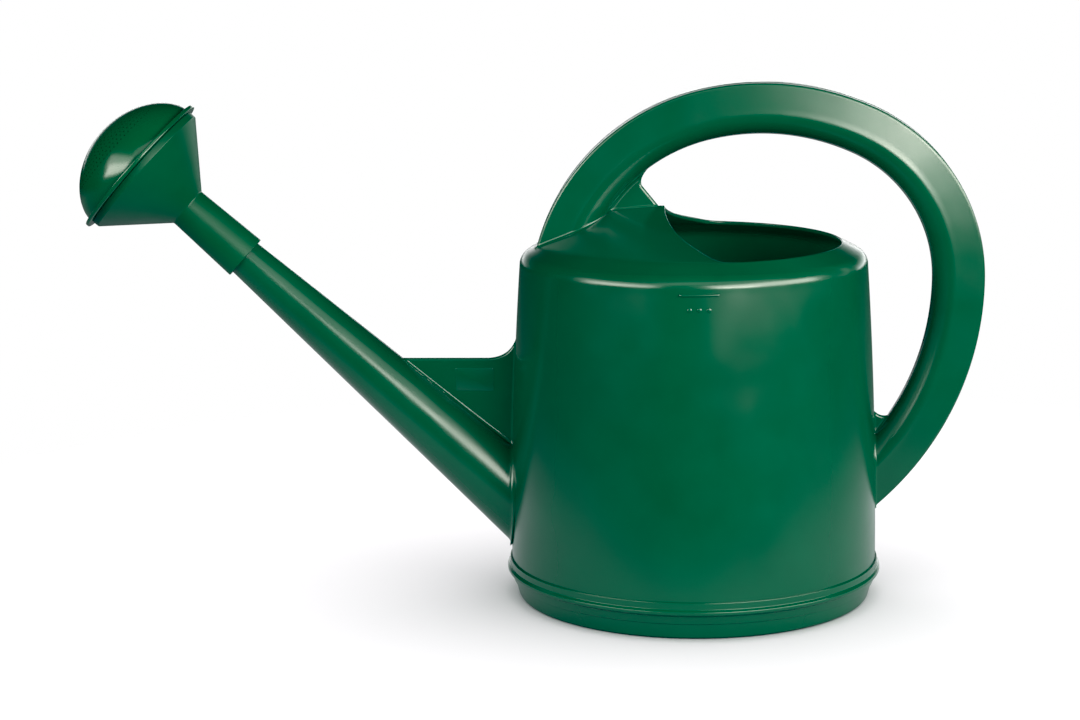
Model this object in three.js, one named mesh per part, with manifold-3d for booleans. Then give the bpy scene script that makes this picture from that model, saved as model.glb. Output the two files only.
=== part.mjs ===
// A seven-litre plastic watering can with a loop handle and a two-piece rose.
// Millimetres, +Z up. The spout points to -X, and the can is symmetric about the XZ plane.
// Shapes are drawn round the tank's own axis; the last lines move the origin to the
// middle of the can's footprint.
import * as THREE from 'three';
import { mergeVertices } from 'three/addons/utils/BufferGeometryUtils.js';
import Module from 'manifold-3d';

const wasm = await Module();
wasm.setup();

// ---------------------------------------------------------------- driving dimensions
const GAP = 0.3;                    // clearance between pieces that touch
const TANK_SEGMENTS = 48;
const SPOUT_SEGMENTS = 28;
const ROSE_SEGMENTS = 40;

// Tank wall: almost upright at the foot, leaning in towards the shoulder.
const WALL = 2.2;
const WALL_FOOT = { radius: 110.9, z: 25 };
const WALL_HEAD = { radius: 104.6, z: 200 };
const WALL_BULGE = 1.9;             // exponent of the wall's gentle curve
const WALL_ROWS = [40, 75, 110, 145, 175];  // heights of the wall's rings of facets
const SHELL_BOTTOM = 17.3;          // lower edge of the wall, standing in the base's channel

// Shoulder and roof: a shallow cone from the shoulder up to the fill opening.
const SHOULDER_START = 203;         // height where the wall's curve gives way to the shoulder
const SHOULDER_FILLET = 9;
const SHOULDER_STEPS = 4;
const ROOF_SLOPE = THREE.MathUtils.degToRad(27.3);
const RIM = { radius: 89.1, z: 215.9 };
const ROOF_THICKNESS = 2.5;         // measured upright
const ROOF_ROWS = [RIM.radius, 76, 63, 51, 40, 30, 20, 10];  // radii of the roof's rings of facets

// Hood: a closed front that rises from the roof to a ridge under the handle.
const RIDGE_FRONT = { x: -50, z: 235 };
const RIDGE_PEAK = { x: -17, z: 237.3 };
const RIDGE_END = 45;               // x where the ridge would have run out
const HOOD_HOLLOW = 1.15;           // above 1, the hood's sides are slightly hollow

// Fill opening seen from above: a round rim closed by a flatter front edge.
const OPENING_RADIUS = 88.6;
const OPENING_FRONT = { x: 118, radius: 135 };
const OPENING_CORNER = 14;
const OPENING_CUT = { low: 196, high: 256 };     // heights between which the roof is cut away

// Fill-level bar on the wall.
const LEVEL_BAR = { x: 2.6, z: 200, width: 23, height: 1.4, depth: 3, proud: 0.5 };

// Base: a pan with a foot ring, a groove, a bead and a stepped rim.
const FOOT = { inner: 98, outer: 106.9, bevel: 1 };
const FLOOR = { underside: 2, top: 4.5, radius: 98, bevel: 2 };
const PAN_SIDE = { radius: 103.5, z: 7.5 };      // inner face, above its curve up from the floor
const GROOVE = { z: 9.2, radius: 109.1, half: 0.7, below: 109.6, above: 110.2 };
const BEAD = { radius: 113.65, low: 16.1, high: 17.7, root: 111.3, slant: 1.6 };
const RIM_BAND = { radius: 112.1, low: 18.6, high: 22.3, top: 22.8 };
const CHANNEL_LIP = 1.1;            // inner lip of the channel that the wall stands in

// Spout: a straight taper. Distances t run out along its axis from the tank wall.
const SPOUT_ROOT = new THREE.Vector3(-110.6, 0, 61.6);
const SPOUT_ANGLE = THREE.MathUtils.degToRad(42.1);
const SPOUT_ROOT_RADIUS = 22.7;
const SPOUT_TAPER = 0.0517;
const SPIGOT = { start: 228, end: 252 };
const SPOUT_WALL = 2;
const SPOUT_INSET = 35;             // the drawn cone starts this far inside the tank

// Rose, on the same axis: a funnel with a push-on sleeve, and a perforated face.
const SLEEVE_MOUTH = { t: 216.2, radius: 14.15 };
const NECK = { t: 262.1, radius: 12.5 };
const CONE_MOUTH = { t: 294.6, radius: 43.9 };
const COLLAR = { t: 298.35, radius: 44.1 };
const ROSE_WALL = 1.5;
const FLANGE = { low: 298.65, high: 301.05, radius: 48 };
const SKIRT = { low: 295.3, radius: 42.3, wall: 1.4 };
const DOME = { radius: 44.2, height: 29.4, power: 0.6, wall: 1.6 };
const DOME_ROWS = [0.95, 0.85, 0.7, 0.5, 0.25, 0];  // the dome's rings of facets, as shares of its radius
const HOLE_RADIUS = 0.9;
const HOLE_RINGS = [{ r: 0, count: 1 }, { r: 9, count: 6 }, { r: 18, count: 12 }, { r: 27, count: 16 }];

// Handle: four arcs that run into each other, drawn along the outer edge of the loop.
const HANDLE_CENTRE = { x: 60.35, z: 193.3 };    // centre of the rear arc
const HANDLE_RADII = { rear: 113, low: 184, top: 161.9, front: 131.3 };
const HANDLE_TOP_FROM = THREE.MathUtils.degToRad(65.4);
const HANDLE_TOP_TO = THREE.MathUtils.degToRad(103.3);
const HANDLE_FRONT_END = THREE.MathUtils.degToRad(173);
const HANDLE_LOW_END = THREE.MathUtils.degToRad(-56);
const HANDLE_DEPTH = 30.5;          // outer edge to inner edge
const HANDLE_HALF_WIDTH = 12.8;     // where the flat part of the sides ends
const HANDLE_FLAT = 18.5;           // depth of the flat part of each side
const HANDLE_DRAFT = THREE.MathUtils.degToRad(7.5);
const HANDLE_CORNER = 2;
const HANDLE_WALL = 2.2;
const HANDLE_STEPS = 28;

// Thin webs that tie the handle and the spout to the tank.
const WEB_THICKNESS = 3.4;
const SPOUT_WEB = { top: 144.5, tip: -177, sweep: -124, peak: 157, wall: -107, buried: -95 };

const canPlastic = new THREE.MeshStandardMaterial({ color: 0x003c24, roughness: 0.24, metalness: 0 });
const rosePlastic = new THREE.MeshStandardMaterial({ color: 0x003b20, roughness: 0.2, metalness: 0 });

// ---------------------------------------------------------------- solids
// Turns a closed geometry into a solid, dropping the zero-area triangles on a lathe's axis.
function solidFrom(geometry) {
  const bare = geometry.clone();
  bare.deleteAttribute('normal');
  bare.deleteAttribute('uv');
  const merged = mergeVertices(bare, 1e-4);
  const index = merged.index.array;
  const position = merged.attributes.position.array;
  const triangles = [];
  for (let i = 0; i < index.length; i += 3) {
    const [a, b, c] = [index[i], index[i + 1], index[i + 2]];
    if (a !== b && b !== c && c !== a) triangles.push(a, b, c);
  }
  if (signedVolume(position, triangles) < 0) triangles.reverse();
  return new wasm.Manifold(new wasm.Mesh({
    numProp: 3,
    vertProperties: new Float32Array(position),
    triVerts: new Uint32Array(triangles),
  }));
}

function signedVolume(position, triangles) {
  const [p, q, r] = [new THREE.Vector3(), new THREE.Vector3(), new THREE.Vector3()];
  let sum = 0;
  for (let i = 0; i < triangles.length; i += 3) {
    p.fromArray(position, 3 * triangles[i]);
    q.fromArray(position, 3 * triangles[i + 1]);
    r.fromArray(position, 3 * triangles[i + 2]);
    sum += p.dot(q.cross(r));
  }
  return sum / 6;
}

function meshFrom(solid, name, material) {
  const { vertProperties, triVerts } = solid.getMesh();
  const geometry = new THREE.BufferGeometry();
  geometry.setAttribute('position', new THREE.BufferAttribute(vertProperties, 3));
  geometry.setIndex(new THREE.BufferAttribute(triVerts, 1));
  geometry.computeVertexNormals();
  const mesh = new THREE.Mesh(geometry, material);
  mesh.name = name;
  return mesh;
}

// Revolves a closed [radius, height] profile about Z.
function revolve(profile, segments) {
  const points = profile.map(([radius, height]) => new THREE.Vector2(radius, height));
  points.push(points[0].clone());
  return new THREE.LatheGeometry(points, segments).rotateX(Math.PI / 2);
}

// Extrudes a shape drawn in X and Z into a plate centred on the XZ plane.
function plate(shape, thickness) {
  return new THREE.ExtrudeGeometry(shape, { depth: thickness, bevelEnabled: false, curveSegments: 8 })
    .rotateX(Math.PI / 2)
    .translate(0, thickness / 2, 0);
}

// ---------------------------------------------------------------- tank
function wallRadius(z) {
  const rise = Math.max(0, (z - WALL_FOOT.z) / (WALL_HEAD.z - WALL_FOOT.z));
  return WALL_FOOT.radius - (WALL_FOOT.radius - WALL_HEAD.radius) * rise ** WALL_BULGE;
}

function roofCone(radius) {
  return RIM.z + (RIM.radius - radius) * Math.tan(ROOF_SLOPE);
}

// Height of the ridge above x: straight up the front, flat to the peak, then out again.
function ridgeHeight(x) {
  if (x < RIDGE_FRONT.x) {
    return THREE.MathUtils.mapLinear(x, -RIM.radius, RIDGE_FRONT.x, RIM.z, RIDGE_FRONT.z);
  }
  if (x < RIDGE_PEAK.x) {
    const along = (x - RIDGE_FRONT.x) / (RIDGE_PEAK.x - RIDGE_FRONT.x);
    return RIDGE_PEAK.z - (RIDGE_PEAK.z - RIDGE_FRONT.z) * (1 - along) ** 2;
  }
  return RIDGE_PEAK.z + (RIM.z - RIDGE_PEAK.z) * THREE.MathUtils.smoothstep(x, 0, RIDGE_END);
}

// The hood is ruled from the rim circle, on each side, to the ridge.
function hoodHeight(x, y) {
  const halfWidth = Math.sqrt(Math.max(RIM.radius ** 2 - x ** 2, 1e-6));
  const inward = Math.max(0, 1 - Math.abs(y) / halfWidth);
  return RIM.z + (ridgeHeight(x) - RIM.z) * inward ** HOOD_HOLLOW;
}

// A filled tank: offset grows it outwards, or shrinks it when negative.
function tankGeometry(offset, bottom, roofDrop) {
  const profile = [[0, bottom], [wallRadius(bottom) + offset, bottom]];
  for (const z of WALL_ROWS) profile.push([wallRadius(z) + offset, z]);
  profile.push(...shoulderArc(offset, roofDrop));
  for (const radius of ROOF_ROWS) profile.push([radius, RIM.z - roofDrop]);
  profile.push([0, RIM.z - roofDrop]);
  const geometry = revolve(profile, TANK_SEGMENTS);
  const position = geometry.attributes.position;
  for (let i = 0; i < position.count; i += 1) {
    const [x, y, z] = [position.getX(i), position.getY(i), position.getZ(i)];
    const onHood = z > RIM.z - roofDrop - 0.01 && Math.hypot(x, y) < RIM.radius + 0.01;
    if (onHood) position.setZ(i, hoodHeight(x, y) - roofDrop);
  }
  return geometry;
}

// Rounds the corner between the wall and the roof.
function shoulderArc(offset, roofDrop) {
  const fillet = SHOULDER_FILLET + offset;
  const centreR = wallRadius(SHOULDER_START) - SHOULDER_FILLET;
  const centreZ = roofCone(centreR) - roofDrop - fillet / Math.cos(ROOF_SLOPE);
  const arc = [];
  for (let step = 0; step <= SHOULDER_STEPS; step += 1) {
    const angle = (step / SHOULDER_STEPS) * (Math.PI / 2 - ROOF_SLOPE);
    arc.push([centreR + fillet * Math.cos(angle), centreZ + fillet * Math.sin(angle)]);
  }
  return arc;
}

// Upright prism through the fill opening, with its two corners rounded.
function openingGeometry() {
  const inner = OPENING_RADIUS - OPENING_CORNER;
  const outer = OPENING_FRONT.radius - OPENING_CORNER;
  const cornerX = (inner ** 2 - outer ** 2 + OPENING_FRONT.x ** 2) / (2 * OPENING_FRONT.x);
  const cornerY = Math.sqrt(inner ** 2 - cornerX ** 2);
  const rimAngle = Math.atan2(cornerY, cornerX);
  const frontAngle = Math.atan2(cornerY, cornerX - OPENING_FRONT.x);
  const shape = new THREE.Shape();
  shape.absarc(0, 0, OPENING_RADIUS, -rimAngle, rimAngle);
  shape.absarc(cornerX, cornerY, OPENING_CORNER, rimAngle, frontAngle);
  shape.absarc(OPENING_FRONT.x, 0, OPENING_FRONT.radius, frontAngle, 2 * Math.PI - frontAngle);
  shape.absarc(cornerX, -cornerY, OPENING_CORNER, -frontAngle, -rimAngle);
  const depth = OPENING_CUT.high - OPENING_CUT.low;
  return new THREE.ExtrudeGeometry(shape, { depth, bevelEnabled: false, curveSegments: 22 })
    .translate(0, 0, OPENING_CUT.low);
}

function levelBar() {
  const front = wallRadius(LEVEL_BAR.z) + LEVEL_BAR.proud;
  return new THREE.BoxGeometry(LEVEL_BAR.width, LEVEL_BAR.depth, LEVEL_BAR.height)
    .translate(LEVEL_BAR.x, LEVEL_BAR.depth / 2 - front, LEVEL_BAR.z);
}

// ---------------------------------------------------------------- base
function baseGeometry() {
  const wallOuter = WALL_FOOT.radius + GAP;
  const wallInner = WALL_FOOT.radius - WALL - GAP;
  return revolve([
    [0, FLOOR.underside],
    [FOOT.inner - FLOOR.bevel, FLOOR.underside],
    [FOOT.inner, 0],
    [FOOT.outer - FOOT.bevel, 0],
    [FOOT.outer, FOOT.bevel],
    [GROOVE.below, GROOVE.z - GROOVE.half],
    [GROOVE.radius, GROOVE.z],
    [GROOVE.above, GROOVE.z + GROOVE.half],
    [BEAD.root, BEAD.low - BEAD.slant],
    [BEAD.radius, BEAD.low],
    [BEAD.radius, BEAD.high],
    [RIM_BAND.radius, RIM_BAND.low],
    [RIM_BAND.radius, RIM_BAND.high],
    [wallOuter, RIM_BAND.top],
    [wallOuter, SHELL_BOTTOM - GAP],
    [wallInner, SHELL_BOTTOM - GAP],
    [wallInner, RIM_BAND.top],
    [wallInner - CHANNEL_LIP, RIM_BAND.top],
    [PAN_SIDE.radius, PAN_SIDE.z],
    [FLOOR.radius, FLOOR.top],
    [0, FLOOR.top],
  ], TANK_SEGMENTS);
}

// ---------------------------------------------------------------- spout and rose
function spoutRadius(t) {
  return SPOUT_ROOT_RADIUS - SPOUT_TAPER * t;
}

// Turns a solid drawn along +Z onto the spout's axis.
function ontoSpout(geometry) {
  return geometry.rotateY(SPOUT_ANGLE - Math.PI / 2).translate(SPOUT_ROOT.x, SPOUT_ROOT.y, SPOUT_ROOT.z);
}

function spoutGeometry(offset, overrun) {
  return ontoSpout(revolve([
    [0, -SPOUT_INSET],
    [spoutRadius(-SPOUT_INSET) + offset, -SPOUT_INSET],
    [spoutRadius(SPIGOT.start) + offset, SPIGOT.start],
    [spoutRadius(SPIGOT.start) + offset, SPIGOT.end + overrun],
    [0, SPIGOT.end + overrun],
  ], SPOUT_SEGMENTS));
}

function funnelGeometry() {
  const slantWall = ROSE_WALL * Math.SQRT2;
  return revolve([
    [SLEEVE_MOUTH.radius, SLEEVE_MOUTH.t],
    [NECK.radius, NECK.t],
    [CONE_MOUTH.radius, CONE_MOUTH.t],
    [COLLAR.radius, COLLAR.t],
    [COLLAR.radius - ROSE_WALL, COLLAR.t],
    [CONE_MOUTH.radius - ROSE_WALL, CONE_MOUTH.t],
    [NECK.radius - ROSE_WALL, NECK.t + slantWall - ROSE_WALL],
    [SLEEVE_MOUTH.radius - ROSE_WALL, SLEEVE_MOUTH.t],
  ], ROSE_SEGMENTS);
}

function domeHeight(radius, outerRadius, height) {
  return height * (1 - (radius / outerRadius) ** 2) ** DOME.power;
}

function faceGeometry() {
  const profile = [
    [SKIRT.radius, SKIRT.low],
    [SKIRT.radius, FLANGE.low],
    [FLANGE.radius, FLANGE.low],
    [FLANGE.radius, FLANGE.high],
    [DOME.radius, FLANGE.high],
  ];
  for (const share of DOME_ROWS) {
    const radius = DOME.radius * share;
    profile.push([radius, FLANGE.high + domeHeight(radius, DOME.radius, DOME.height)]);
  }
  const [innerRadius, innerHeight] = [DOME.radius - DOME.wall, DOME.height - DOME.wall];
  for (const share of DOME_ROWS.toReversed()) {
    const radius = innerRadius * share;
    profile.push([radius, FLANGE.high + domeHeight(radius, innerRadius, innerHeight)]);
  }
  profile.push([SKIRT.radius - SKIRT.wall, FLANGE.high]);
  profile.push([SKIRT.radius - SKIRT.wall, SKIRT.low]);
  return revolve(profile, ROSE_SEGMENTS);
}

// Straight six-sided drills through the dome, in rings.
function holeSolids() {
  const drill = new THREE.CylinderGeometry(HOLE_RADIUS, HOLE_RADIUS, DOME.height, 6)
    .rotateX(Math.PI / 2)
    .translate(0, 0, FLANGE.high + DOME.height * 0.75);
  const solids = [];
  for (const { r, count } of HOLE_RINGS) {
    for (let i = 0; i < count; i += 1) {
      const angle = (2 * Math.PI * i) / count;
      solids.push(solidFrom(drill.clone().translate(r * Math.cos(angle), r * Math.sin(angle), 0)));
    }
  }
  return solids;
}

// ---------------------------------------------------------------- handle
// The outer edge of the loop, from its front foot over the top to its rear foot.
class HandleEdge extends THREE.Curve {
  constructor() {
    super();
    const { rear, low, top, front } = HANDLE_RADII;
    const { x, z } = HANDLE_CENTRE;
    const topX = x - (top - rear) * Math.cos(HANDLE_TOP_FROM);
    const topZ = z - (top - rear) * Math.sin(HANDLE_TOP_FROM);
    const frontX = topX - (front - top) * Math.cos(HANDLE_TOP_TO);
    const frontZ = topZ - (front - top) * Math.sin(HANDLE_TOP_TO);
    this.arcs = [
      { x: frontX, z: frontZ, radius: front, from: HANDLE_FRONT_END, to: HANDLE_TOP_TO },
      { x: topX, z: topZ, radius: top, from: HANDLE_TOP_TO, to: HANDLE_TOP_FROM },
      { x, z, radius: rear, from: HANDLE_TOP_FROM, to: 0 },
      { x: x + rear - low, z, radius: low, from: 0, to: HANDLE_LOW_END },
    ];
    this.length = this.arcs.reduce((sum, arc) => sum + arc.radius * (arc.from - arc.to), 0);
  }

  getPoint(t, target = new THREE.Vector3()) {
    let left = t * this.length;
    let [arc] = this.arcs;
    for (const next of this.arcs.slice(1)) {
      const span = arc.radius * (arc.from - arc.to);
      if (left <= span) break;
      left -= span;
      arc = next;
    }
    const angle = arc.from - left / arc.radius;
    return target.set(arc.x + arc.radius * Math.cos(angle), 0, arc.z + arc.radius * Math.sin(angle));
  }
}

// D-shaped section: flat outer face, sides that widen inwards, and a round inner edge.
function handleSection(inset) {
  const half = HANDLE_HALF_WIDTH - inset;
  const face = half - HANDLE_FLAT * Math.tan(HANDLE_DRAFT);
  const corner = Math.max(HANDLE_CORNER - inset, 0.4);
  const shape = new THREE.Shape();
  shape.moveTo(-face, inset + corner);
  shape.absarc(-face + corner, inset + corner, corner, Math.PI, 1.5 * Math.PI);
  shape.absarc(face - corner, inset + corner, corner, 1.5 * Math.PI, 2 * Math.PI);
  shape.absellipse(0, HANDLE_FLAT, half, HANDLE_DEPTH - HANDLE_FLAT - inset, 0, Math.PI);
  return shape;
}

function handleGeometry(inset) {
  return new THREE.ExtrudeGeometry(handleSection(inset), {
    extrudePath: new HandleEdge(),
    steps: HANDLE_STEPS,
    curveSegments: 3,
  });
}

// ---------------------------------------------------------------- webs
// Each web is drawn past the walls it joins, which then trim it.
function spoutWebShape() {
  const { top, tip, sweep, peak, wall, buried } = SPOUT_WEB;
  const shape = new THREE.Shape();
  shape.moveTo(tip, top);
  shape.lineTo(sweep, top);
  shape.quadraticCurveTo(-110, top + 1, wall, peak);
  shape.lineTo(buried, peak);
  shape.lineTo(buried, SPOUT_ROOT.z);
  shape.lineTo(SPOUT_ROOT.x, SPOUT_ROOT.z);
  shape.lineTo(tip - 3, top - 20);
  return shape;
}

function frontWebShape() {
  const shape = new THREE.Shape();
  shape.moveTo(-19.5, 236);
  shape.lineTo(-30.6, 249.4);
  shape.quadraticCurveTo(-32.4, 253.5, -28, 258.5);
  shape.lineTo(-34, 268);
  shape.lineTo(-70, 238);
  shape.lineTo(-66, 214);
  shape.lineTo(-24, 225);
  return shape;
}

function rearWebShape() {
  const shape = new THREE.Shape();
  shape.moveTo(104, 114);
  shape.lineTo(109.2, 112);
  shape.quadraticCurveTo(114.5, 106.5, 119.8, 110.2);
  shape.lineTo(126, 112);
  shape.lineTo(118, 92);
  shape.lineTo(104, 88);
  return shape;
}

// ---------------------------------------------------------------- assembly
const tankOuter = solidFrom(tankGeometry(0, SHELL_BOTTOM, 0));
const tankGrown = solidFrom(tankGeometry(GAP, 0, -GAP));
const tankInner = solidFrom(tankGeometry(-WALL, SHELL_BOTTOM - 5, ROOF_THICKNESS));
const opening = solidFrom(openingGeometry());
const spoutOuter = solidFrom(spoutGeometry(0, 0));
const spoutGrown = solidFrom(spoutGeometry(GAP, 0));
const spoutBore = solidFrom(spoutGeometry(-SPOUT_WALL, 5));
const handleOuter = solidFrom(handleGeometry(0));
const handleGrown = solidFrom(handleGeometry(-GAP));
const handleInner = solidFrom(handleGeometry(HANDLE_WALL));

const tankShell = tankOuter
  .add(solidFrom(levelBar()))
  .subtract(tankInner)
  .subtract(opening)
  .subtract(spoutBore);
const spoutTube = spoutOuter.subtract(spoutBore).subtract(tankGrown);
const handleLoop = handleOuter.subtract(handleInner).subtract(tankGrown);
const roseFace = holeSolids().reduce((face, hole) => face.subtract(hole), solidFrom(faceGeometry()));

function web(shape, neighbour) {
  return solidFrom(plate(shape, WEB_THICKNESS)).subtract(tankGrown).subtract(neighbour);
}

const rose = new THREE.Group();
rose.position.copy(SPOUT_ROOT);
rose.rotation.y = SPOUT_ANGLE - Math.PI / 2;
rose.add(
  meshFrom(solidFrom(funnelGeometry()), 'rose_funnel', rosePlastic),
  meshFrom(roseFace, 'rose_face', rosePlastic),
);

const can = new THREE.Group();
can.add(
  meshFrom(tankShell, 'tank_shell', canPlastic),
  meshFrom(solidFrom(baseGeometry()), 'base_pan', canPlastic),
  meshFrom(spoutTube, 'spout_tube', canPlastic),
  meshFrom(web(spoutWebShape(), spoutGrown), 'spout_web', canPlastic),
  meshFrom(handleLoop, 'handle_loop', canPlastic),
  meshFrom(web(frontWebShape(), handleGrown), 'handle_front_web', canPlastic),
  meshFrom(web(rearWebShape(), handleGrown), 'handle_rear_web', canPlastic),
  rose,
);

// The origin is the middle of the can's bounding box, at the height of the foot ring.
const bounds = new THREE.Box3().setFromObject(can, true);
can.position.x = -(bounds.min.x + bounds.max.x) / 2;

const wateringCan = new THREE.Group();
wateringCan.add(can);

export default wateringCan;
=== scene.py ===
"""Looks of the seven-litre watering can: fine meshes, materials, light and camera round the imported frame.

Shapes are drawn in millimetres round the tank's own axis, and add_piece() puts them in the frame.
"""

import math

import bmesh
import bpy
import numpy as np
from mathutils import Matrix, Vector, geometry


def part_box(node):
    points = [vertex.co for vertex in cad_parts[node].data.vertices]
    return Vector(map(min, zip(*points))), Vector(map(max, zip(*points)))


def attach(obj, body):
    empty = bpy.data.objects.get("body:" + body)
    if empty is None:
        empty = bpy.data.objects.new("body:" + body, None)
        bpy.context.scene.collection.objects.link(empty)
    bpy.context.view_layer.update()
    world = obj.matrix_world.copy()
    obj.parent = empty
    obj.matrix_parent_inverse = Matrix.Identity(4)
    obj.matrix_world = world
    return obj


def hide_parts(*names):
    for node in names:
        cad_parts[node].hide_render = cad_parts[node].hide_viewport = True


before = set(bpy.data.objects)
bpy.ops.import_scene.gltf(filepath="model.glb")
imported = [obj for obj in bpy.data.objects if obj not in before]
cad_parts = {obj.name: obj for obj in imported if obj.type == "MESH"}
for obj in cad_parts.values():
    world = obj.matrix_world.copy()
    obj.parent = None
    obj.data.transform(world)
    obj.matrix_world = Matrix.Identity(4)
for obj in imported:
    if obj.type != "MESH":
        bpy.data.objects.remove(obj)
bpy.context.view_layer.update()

# ---------------------------------------------------------------- driving dimensions, from the frame
MM = 0.001
base_low, base_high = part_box("base_pan")
AXIS_X = (base_low.x + base_high.x) / 2 / MM  # the tank's axis in the frame
BEAD_RADIUS = (base_high.y - base_low.y) / 2 / MM
HANDLE_HALF_WIDTH = (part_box("handle_loop")[1].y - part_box("handle_loop")[0].y) / 2 / MM

# Tank wall, in millimetres and measured from the tank's axis.
WALL = 2.2
WALL_FOOT = (110.9, 25.0)
WALL_HEAD = (104.6, 200.0)
WALL_BULGE = 1.9
SHELL_BOTTOM = 17.3

# Shoulder, roof and hood.
SHOULDER_FILLET = 9.0
SHOULDER_START = 203.0
ROOF_SLOPE = math.radians(27.3)
RIM_RADIUS = 89.1
RIM_Z = 215.9
ROOF_THICKNESS = 2.5
RIDGE_FRONT = (-50.0, 235.0)
RIDGE_PEAK = (-17.0, 237.3)
RIDGE_END = 45.0
HOOD_HOLLOW = 1.03
RIDGE_SOFTNESS = 1.6
RIM_SOFTNESS = 4.0

# Fill opening in plan: a round rim closed by a flatter front edge.
OPENING_RADIUS = 88.6
OPENING_FRONT = (118.0, 135.0)  # centre along X, radius
OPENING_CORNER = 14.0
LIP_ROUND = 0.8

# Spout: distances t run out along its axis from the tank wall.
SPOUT_ROOT = np.array((-110.6, 0.0, 61.6))
SPOUT_ANGLE = math.radians(42.1)
SPOUT_ROOT_RADIUS = 22.7
SPOUT_TAPER = 0.0517
SPIGOT_START = 228.0
SPIGOT_END = 252.0
SPOUT_WALL = 2.0
SPOUT_FILLET = 2.4
TIP_ROUND = 0.6
TIP_INNER_ROUND = 0.4
HOLE_REACH = (-16.0, 6.0)  # the hole in the tank's wall is cut between these distances

# Rose.
ROSE_WALL = 1.5
FLANGE_LOW = 298.65
FLANGE_HIGH = 301.05
DOME_RADIUS = 44.2
DOME_HEIGHT = 29.4
DOME_WALL = 1.6
DOME_POWER = 1.2
HOLE_RADIUS = 0.5
HOLE_PITCH = 3.1
HOLE_LIMIT = math.radians(59)  # the drilled cap, as an angle from the dome's pole
HOLE_SIDES = 8

# Handle: (centre x, centre z, radius, first angle, last angle) of the arcs along its outer edge.
HANDLE_CENTRE = (60.35, 193.3)
HANDLE_REAR = 113.0
HANDLE_LOW = 184.0
HANDLE_TOP = 161.9
HANDLE_FRONT = 131.3
HANDLE_TOP_FROM = math.radians(65.4)
HANDLE_TOP_TO = math.radians(103.3)
HANDLE_FRONT_END = math.radians(179)
HANDLE_LOW_END = math.radians(-58)
HANDLE_DEPTH = 30.5
HANDLE_FLAT = 18.5  # depth of the flat part of each side
HANDLE_DRAFT = math.radians(7.5)
HANDLE_CORNER = 1.5
HANDLE_FILLET = 1.3
SEAM_HEIGHT = 0.22
SEAM_WIDTH = 0.5
SEAM_TOP = 0.12
SEAM_MARGIN = 1.6

# Webs.
WEB_HALF = 1.7
WEB_FILLET = 1.5
EMBED = 0.6  # how far a trimmed end reaches into the wall it grows from

# Fill mark: a bar at the level of seven litres, with three studs under it.
BAR_LEFT = -8.9
BAR_RIGHT = 14.1
BAR_LEVEL = 200.0
STUD_DROP = 8.5
STUD_PITCH = 5.5

# Blank panel on the spout's web: two corners (x, z), and how it is rounded and raised.
PANEL_LOW = (-144.5, 124.5)
PANEL_HIGH = (-121.0, 138.5)
PANEL_CORNER = 1.2
PANEL_STEPS = ((-1.4, 1.0), (-WEB_HALF - 0.12, 1.0), (-WEB_HALF - 0.24, 0.96875))  # y, and size there

TANK_COLUMNS = 720
LATHE_COLUMNS = 256


# ---------------------------------------------------------------- mesh helpers
def add_piece(name, vertices, faces, material, body, replaced, slot, sharp=None):
    """A smooth closed mesh in the frame, from millimetres round the tank's axis."""
    mesh = bpy.data.meshes.new(name)
    placed = (np.asarray(vertices) + (AXIS_X, 0, 0)) * MM
    mesh.from_pydata(placed.tolist(), [], [list(map(int, face)) for face in faces])
    clean = bmesh.new()
    clean.from_mesh(mesh)
    bmesh.ops.remove_doubles(clean, verts=clean.verts, dist=1e-7)
    bmesh.ops.dissolve_degenerate(clean, edges=clean.edges, dist=1e-9)
    bmesh.ops.recalc_face_normals(clean, faces=clean.faces)
    for face in clean.faces:
        face.smooth = True
    if sharp is not None:
        for edge in clean.edges:
            if len(edge.link_faces) == 2 and edge.calc_face_angle() > sharp:
                edge.smooth = False
    clean.to_mesh(mesh)
    clean.free()
    mesh.materials.append(material)
    piece = bpy.data.objects.new(name, mesh)
    bpy.context.scene.collection.objects.link(piece)
    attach(piece, body)
    if replaced:
        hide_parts(*replaced)
    return piece


def grid_faces(rows, columns, close_rows, close_columns):
    """Quads of a grid whose vertex (row, column) is number row * columns + column."""
    row = np.arange(rows if close_rows else rows - 1)
    column = np.arange(columns if close_columns else columns - 1)
    a, b = np.meshgrid(row, column, indexing="ij")
    c, d = (a + 1) % rows, (b + 1) % columns
    quads = (a * columns + b, a * columns + d, c * columns + d, c * columns + b)
    return np.stack(quads, -1).reshape(-1, 4)


def rounded(outline, steps=5):
    """A closed outline from (x, z, corner radius) points, each corner drawn as a short curve."""
    points = []
    for i, (x, z, radius) in enumerate(outline):
        here = np.array((x, z))
        before = np.array(outline[i - 1][:2]) - here
        after = np.array(outline[(i + 1) % len(outline)][:2]) - here
        reach_before, reach_after = np.linalg.norm(before), np.linalg.norm(after)
        before, after = before / reach_before, after / reach_after
        turn = math.acos(max(-1.0, min(1.0, -before @ after)))
        cut = min(radius * math.tan(turn / 2), 0.49 * reach_before, 0.49 * reach_after)
        for s in np.linspace(0, 1, steps) if radius else (0.5,):
            points.append(here + cut * (before * (1 - s) ** 2 + after * s ** 2))
    return points


def lathe(profile, columns=LATHE_COLUMNS):
    """Vertices and faces of a closed (radius, height) profile turned about Z."""
    profile = np.array(profile)
    phi = np.linspace(0, 2 * math.pi, columns, endpoint=False)
    x = profile[:, 0, None] * np.cos(phi)
    y = profile[:, 0, None] * np.sin(phi)
    z = np.repeat(profile[:, 1, None], columns, 1)
    return np.stack((x, y, z), -1).reshape(-1, 3), grid_faces(len(profile), columns, True, True)


def onto_spout(points):
    """Turns points drawn about +Z onto the spout's axis."""
    turn = Matrix.Rotation(SPOUT_ANGLE - math.pi / 2, 3, "Y")
    return np.asarray(points) @ np.array(turn).T + SPOUT_ROOT


def smoothstep(value, low, high):
    share = np.clip((value - low) / (high - low), 0, 1)
    return share * share * (3 - 2 * share)


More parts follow.
